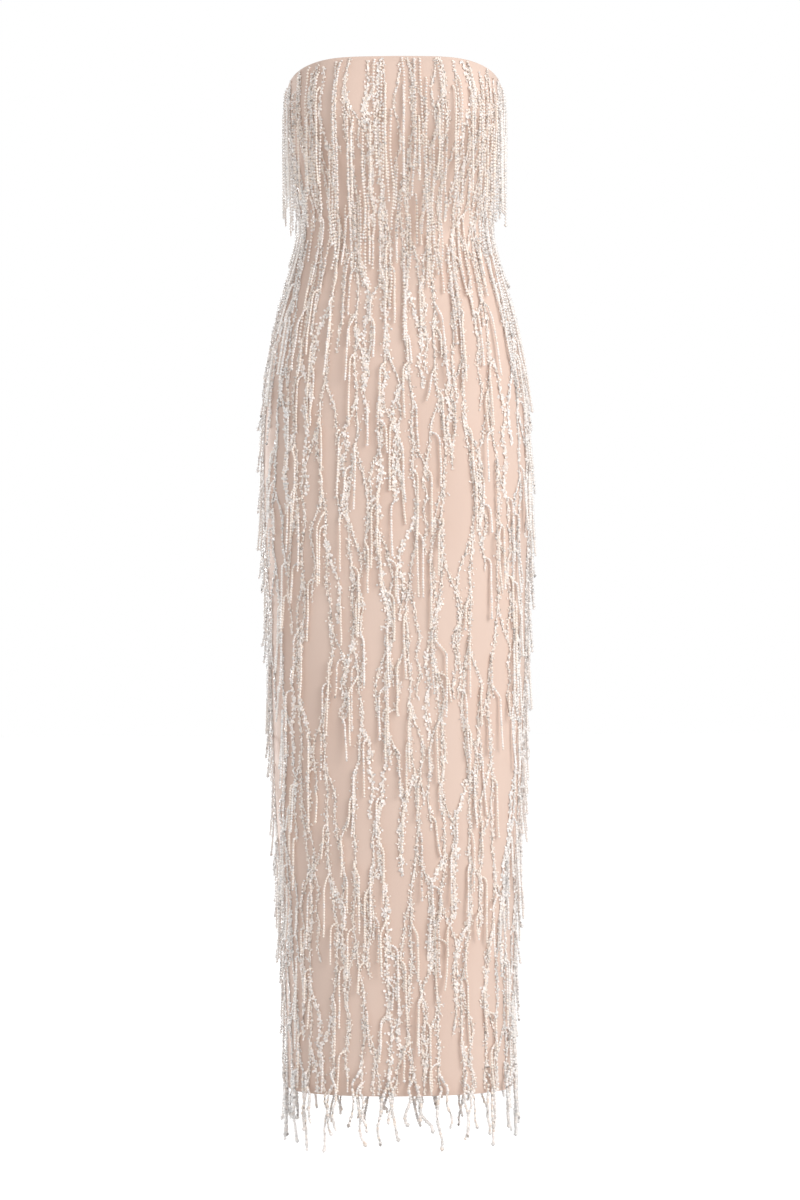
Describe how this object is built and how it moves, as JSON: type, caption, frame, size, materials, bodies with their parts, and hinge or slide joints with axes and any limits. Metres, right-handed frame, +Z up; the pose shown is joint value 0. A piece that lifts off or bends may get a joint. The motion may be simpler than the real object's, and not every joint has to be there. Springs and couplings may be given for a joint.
{
  "type": "column gown",
  "caption": "Strapless floor-length column gown in worn form, hollow and open at top and hem, with hanging bead fringe and a centre-back zip whose pull swings.",
  "frame": {"origin": "middle of the torso hollow at the waist, where a wearer's body holds the gown", "axes": "+Z up the body, -Y out of the centre front, +X to the wearer's left"},
  "size_m": [0.368, 0.2686, 1.4148],
  "materials": {
    "cloth": "smooth blush satin-backed crepe with a soft sheen",
    "beads": "ivory and silver-lined glass seed beads with clear iridescent sequins",
    "zip_tape": "fine woven blush tape",
    "zip_metal": "blush enamel on die-cast metal"
  },
  "bodies": {
    "gown": {"front_panel": "cloth", "back_panel_left": "cloth", "back_panel_right": "cloth", "zip_tape_left": "zip_tape", "zip_tape_right": "zip_tape", "zip_slider": "zip_metal", "bead_line_01": "beads", "bead_line_02": "beads", "bead_line_03": "beads", "bead_line_04": "beads", "bead_line_05": "beads", "bead_line_06": "beads", "bead_line_07": "beads", "bead_line_08": "beads", "bead_line_09": "beads", "bead_line_10": "beads", "bead_line_11": "beads", "bead_line_12": "beads", "bead_line_13": "beads", "bead_line_14": "beads", "bead_line_15": "beads", "bead_line_16": "beads", "bead_line_17": "beads", "bead_line_18": "beads", "bead_line_19": "beads", "bead_line_20": "beads", "bead_line_21": "beads", "bead_line_22": "beads", "bead_line_23": "beads", "bead_line_24": "beads"},
    "pull": {"zip_pull": "zip_metal"}
  },
  "joints": [
    {"name": "zip_pull_swing", "type": "hinge", "parent": "gown", "child": "pull", "pos_m": [0, 0.09499, 0.14588], "axis": [1, 0, 0], "range_deg": [-6, 170]}
  ]
}
